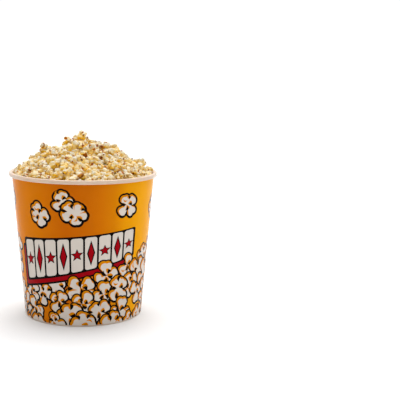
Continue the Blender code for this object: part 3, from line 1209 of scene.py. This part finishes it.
def makeCore(finish):
    # what fills the bucket under the flakes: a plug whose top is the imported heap, sunk, with lumps of
    # sin(a x + b) sin(c y + d) + 0.6 sin(e x + f y) sin(g y)
    sides, rings, fillet = coreShape["sides"], coreShape["rings"], coreShape["fillet"]
    floorTop = bucketShape["floorRise"] + bucketShape["floorThickness"] + heap["wallGap"]
    angles = np.arange(sides) * 2 * math.pi / sides
    circle = np.stack([np.cos(angles), np.sin(angles)], axis=1)
    edge = float(insideRadius(rimTop - coreShape["underRim"] - heap["coreSunk"])) - heap["wallGap"]
    low = float(insideRadius(floorTop + fillet)) - heap["wallGap"]
    share = np.linspace(1, 0, rings, endpoint=False)
    spots = (share[:, None, None] * edge * circle[None]).reshape(-1, 2)
    x, y = spots.T
    lumps = np.sin(x * 620 + 1) * np.sin(y * 590 + 2)
    lumps += 0.6 * np.sin(x * 1130 + y * 400) * np.sin(y * 1210)
    height = heapHeight(spots) - heap["coreSunk"] + coreShape["lumps"] * lumps
    points = np.vstack([
        np.column_stack([circle * (low - fillet), np.full(sides, floorTop)]),
        np.column_stack([circle * low, np.full(sides, floorTop + fillet)]),
        np.column_stack([spots, height]),
        (0, 0, floorTop),
        (0, 0, height[-sides:].mean()),
    ])
    count = len(points)
    # painted shade: the whole core takes the full yellow of the crease shade, as it lies in shade under the
    # flakes
    values = {
        "creaseShade": np.ones(count),
        "deepShade": np.ones(count),
        "hull": np.full(count, noHull),
        "tint": np.zeros(count),
    }
    core = addPiece("popcorn_core", "popcorn", points, rounds(sides, rings + 2), finish, values=values)
    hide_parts("popcorn_heap")


def makeFlakes(name, shape, places, cells, random, finish):
    # flakes at their places, each turned and sized by chance, joined into a few pieces; what comes back
    # is every point's place, the way it faces and how much painted crease shade it has
    made = []
    trianglesPerFlake = (shape["lobes"] + 1) * 12 * cells**2
    parts = math.ceil(len(places) * trianglesPerFlake / heap["pieceTriangles"])
    lean = heap["slope"] / float(wallRadius(rimTop))
    for part, group in enumerate(np.array_split(places, parts)):
        count = len(group)
        points, facing, quads, values = growFlakes(shape, count, cells, random)
        size = random.uniform(*heap["size"], (count, 1, 1))
        turns = randomTurns(count, random)
        points, facing = points @ turns * size, facing @ turns
        outOfHeap = unit(group * (lean, lean, 0) + (0, 0, 1))
        rise = np.einsum("fpa,fa->fp", points, outOfHeap)
        ownFacing = heap["litFacing"]
        lit = (ownFacing * facing + (1 - ownFacing) * unit(points)) @ unit(np.array(heap["litSide"]))
        bright = np.clip(lit, 0, 1)
        # painted shade: yellow in the gaps between flakes and on their sides facing away from the light
        gapShade = np.clip((heap["gapRise"] - rise) / heap["gapFade"], 0, 1)
        shaded = np.clip((heap["shadeFrom"] - lit) / heap["shadeFade"], 0, 1)
        # painted light: less of the painted crease and middle shade on the lit side
        values["creaseShade"] = values["creaseShade"] * (heap["litCrease"] - heap["litFade"] * bright)
        values["deepShade"] = values["deepShade"] * (1 - heap["litFade"] * bright)
        values["deepShade"] = np.maximum(values["deepShade"], np.maximum(gapShade, shaded) * heap["paintedShadeShare"])
        # painted light: the lit side takes less warm white, so it looks whiter
        values["tint"] = random.uniform(*shape["tint"], (count, 1)) - shape["litTint"] * bright
        points = settle(points + group[:, None])
        faces = repeated(quads, count, points.shape[1])
        addPiece(f"{name}_{part + 1}", "popcorn", points.reshape(-1, 3), [faces], finish, values=values)
        made.append(np.concatenate([points, facing, values["creaseShade"][..., None]], axis=-1).reshape(-1, 7))
    return np.concatenate(made)


def onTop(spots, surface):
    # the flakes' point that lies on top at each (x, y): the most of z - steepness * (distance from it)
    steepness = 4
    best = [
        (surface[:, 2] - steepness * np.hypot(*(surface[:, :2] - spot).T)).argmax()
        for spot in spots
    ]
    return surface[best, :3]


def exposed(surface, count, random):
    # points of the flakes picked at random from those that aren't in a crease, don't face down and lie
    # near the top of the heap, and the directions that they face
    tries, likely = 40 * count, 8 * count
    creased, facesDown = 0.15, -0.25
    some = surface[random.choice(len(surface), tries)]
    some = some[(some[:, 6] < creased) & (some[:, 5] > facesDown)][:likely]
    some = some[some[:, 2] > heapHeight(some[:, :2]) - fleckShape["deepest"]][:count]
    return some[:, :3], some[:, 3:6]


def fleckDisc():
    # a flat disc's points and faces, and its outer points in order round it
    circles = [(share, np.arange(count) * 2 * math.pi / count) for share, count in fleckShape["rings"]]
    rings = [share * np.stack([np.cos(turns), np.sin(turns)], axis=1) for share, turns in circles]
    disc = np.vstack([(0, 0), *rings])
    cut = delaunay_2d_cdt([Vector(point) for point in disc.tolist()], [], [], 0, 1e-6, False)
    disc = np.array([tuple(point) for point in cut[0]])
    rim = np.nonzero(np.hypot(*disc.T) > 0.99)[0]
    rim = rim[np.argsort(np.arctan2(disc[rim, 1], disc[rim, 0]))]
    return disc, np.array(cut[2]), rim


def makeFlecks(surface):
    # bits of loose hull on the flakes: small shells over a disc, curled down by curl (x^2 + y^2) / (half
    # their length)
    shape = fleckShape
    random = np.random.default_rng(shape["seed"])
    disc, faces, rim = fleckDisc()
    flecks, count = shape["count"], len(disc)
    spots, up = exposed(surface, flecks, random)
    length = random.uniform(*shape["length"], (flecks, 1)) / 2
    across = length * random.uniform(*shape["width"], (flecks, 1))
    around = np.arctan2(disc[:, 1], disc[:, 0])
    ragged = 1 + shape["ragged"] * np.sin(3 * around + random.uniform(0, 6, (flecks, 1)))
    x, y = disc[:, 0] * length * ragged, disc[:, 1] * across * ragged
    z = -shape["curl"] * (x**2 + y**2) / length
    shell = np.stack([x, y, z], axis=-1)
    shell = np.concatenate([shell + (0, 0, shape["thickness"]), shell], axis=1)
    up = unit(up + random.normal(0, shape["tilt"], up.shape))
    shell = shell @ frames(up, random) + spots[:, None]
    after = np.roll(rim, -1)
    sides = np.column_stack([after, rim, rim + count, after + count])
    both = np.vstack([faces, faces[:, ::-1] + count])
    block = [repeated(both, flecks, 2 * count), repeated(sides, flecks, 2 * count)]
    finish, tree, shader = newFinish("hull", {"Roughness": 0.50, "Specular IOR Level": 0.15})
    place = addNode(tree, "ShaderNodeTexCoord").outputs["Object"]
    patchy = addNoise(tree, place, scale=150.0, detail=4.0)
    tree.links.new(addSkin(tree, patchy, 0.36, 0.60, "hull"), shader.inputs["Base Color"])
    addPiece("hull_flecks", "popcorn", shell.reshape(-1, 3), block, finish)


def makeKernelFinish():
    # mottled brown skin, and white lobes with a painted shade of yellow in their creases
    finish, tree, shader = newFinish("kernel", {"Roughness": 0.40, "Specular IOR Level": 0.20})
    place = addNode(tree, "ShaderNodeTexCoord").outputs["Object"]
    skin = addSkin(tree, addNoise(tree, place, scale=170.0, detail=5.0), 0.38, 0.62, "kernel")
    lobeTones = [(0.0, popcornColours["light"]), (1.0, popcornColours["creaseShade"])]
    lobe = addRamp(tree, addValue(tree, "creaseShade"), lobeTones)
    tree.links.new(addMix(tree, addValue(tree, "hull"), lobe, skin), shader.inputs["Base Color"])
    return finish


def kernelDrop():
    # a drop about (0, 0, 0): a flattened ball, its width times 1 - taper * (height / half its length),
    # then its size times 1 + dents * (a sum of three sines of the place)
    shape = kernelShape
    directions, quads = cubeDirections(shape["cells"])
    halfWidth = shape["width"] / 2
    drop = directions * np.array([halfWidth, halfWidth * shape["flatness"], shape["length"] / 2])
    drop[:, :2] *= 1 - shape["taper"] * directions[:, 2:3]
    waves = np.array([(900, 400, -300), (-200, 800, 500), (300, -500, 700)])
    dents = np.sin(drop @ waves).sum(axis=1, keepdims=True)
    return drop * (1 + shape["dents"] * dents), quads


def makeKernels(surface):
    # half-burst kernels: a brown drop, with white lobes out of one side
    shape = kernelShape
    random = np.random.default_rng(shape["seed"])
    places = np.array(shape["places"])
    spots = onTop(places[:, :2], surface) + (0, 0, shape["rise"])
    count, burst = len(spots), shape["burst"]
    drop, quads = kernelDrop()
    firstLobe = len(drop)
    drop = np.broadcast_to(drop, (count, *drop.shape))
    ways = unit(random.normal(0, shape["burstScatter"], (count, burst, 3)) + shape["burstSide"])
    halfWidth = shape["width"] / 2
    middles = ways * np.array([halfWidth, halfWidth, shape["length"] / shape["burstDepth"]])
    turns = randomTurns(count * burst, random).reshape(count, burst, 3, 3)
    around = evenDirections(shape["bulges"]) @ turns
    radius = random.uniform(*shape["lobeRadius"], (count, burst, 1))
    small = np.broadcast_to(radius * shape["bulgeRadius"], around.shape[:-1])
    balls, radii = ballsRound(around, radius[..., None] * shape["bulgeReach"], small, radius)
    lobes, lobeQuads, creaseShade = growBlobs(balls, radii, shape["lobeCells"])
    lobeQuads = repeated(lobeQuads, burst, lobes.shape[2])
    lobes = (lobes + middles[:, :, None]).reshape(count, -1, 3)
    turns = frames(unit(random.normal(size=(count, 3)) + shape["toFront"]), random)
    points = (np.concatenate([drop, lobes], axis=1) * places[:, None, 2:]) @ turns + spots[:, None]
    faces = repeated(np.concatenate([quads, lobeQuads + firstLobe]), count, points.shape[1])
    brown, creases = np.zeros(points.shape[:2]), np.zeros(points.shape[:2])
    brown[:, :firstLobe] = 1
    creases[:, firstLobe:] = creaseShade.reshape(count, -1)
    values = {"hull": brown, "creaseShade": creases}
    finish = makeKernelFinish()
    addPiece("half_popped_kernels", "popcorn", points.reshape(-1, 3), [faces], finish, values=values)


def wallRing(edge, random):
    # places for the flakes that stand in a ring against the wall
    count, uneven = heap["wallFlakes"], heap["wallUneven"]
    turns = (np.arange(count) + random.uniform(-uneven, uneven, count)) / count
    depth = random.uniform(*heap["wallDepth"], count)
    radius = edge - heap["wallIn"]
    angles = 2 * math.pi * turns
    return np.column_stack([radius * np.cos(angles), radius * np.sin(angles), rimTop - depth])


def makePopcorn():
    finish = makePopcornFinish()
    makeCore(finish)
    edge = float(insideRadius(rimTop)) - heap["edgeGap"]
    underCells = heap["underCells"]
    random = np.random.default_rng(heap["underSeed"])
    wall = wallRing(edge, random)
    under = scatter(heap["underSpacing"], heap["underSunk"], edge, random, wall)
    makeFlakes("under_flakes", plainFlakeShape, under, underCells, random, finish)
    random = np.random.default_rng(heap["seed"])
    crest = np.array(heap["crest"]) + (0, 0, rimTop)
    top = scatter(heap["topSpacing"], heap["topSunk"], edge, random, crest)
    surface = makeFlakes("top_flakes", flakeShape, top, heap["topCells"], random, finish)
    both = np.vstack([under, top])
    fill = scatter(heap["fillSpacing"], heap["fillSunk"], edge, random, both)[len(both):]
    more = makeFlakes("fill_flakes", plainFlakeShape, fill, underCells, random, finish)
    surface = np.vstack([surface, more])
    makeFlecks(surface)
    makeKernels(surface)
    print("popcorn heaped,", len(top), "flakes on top,", len(fill), "between and", len(under), "under them")


makeCamera()
makeStage()
makeBucket()
makePrint()
makePopcorn()
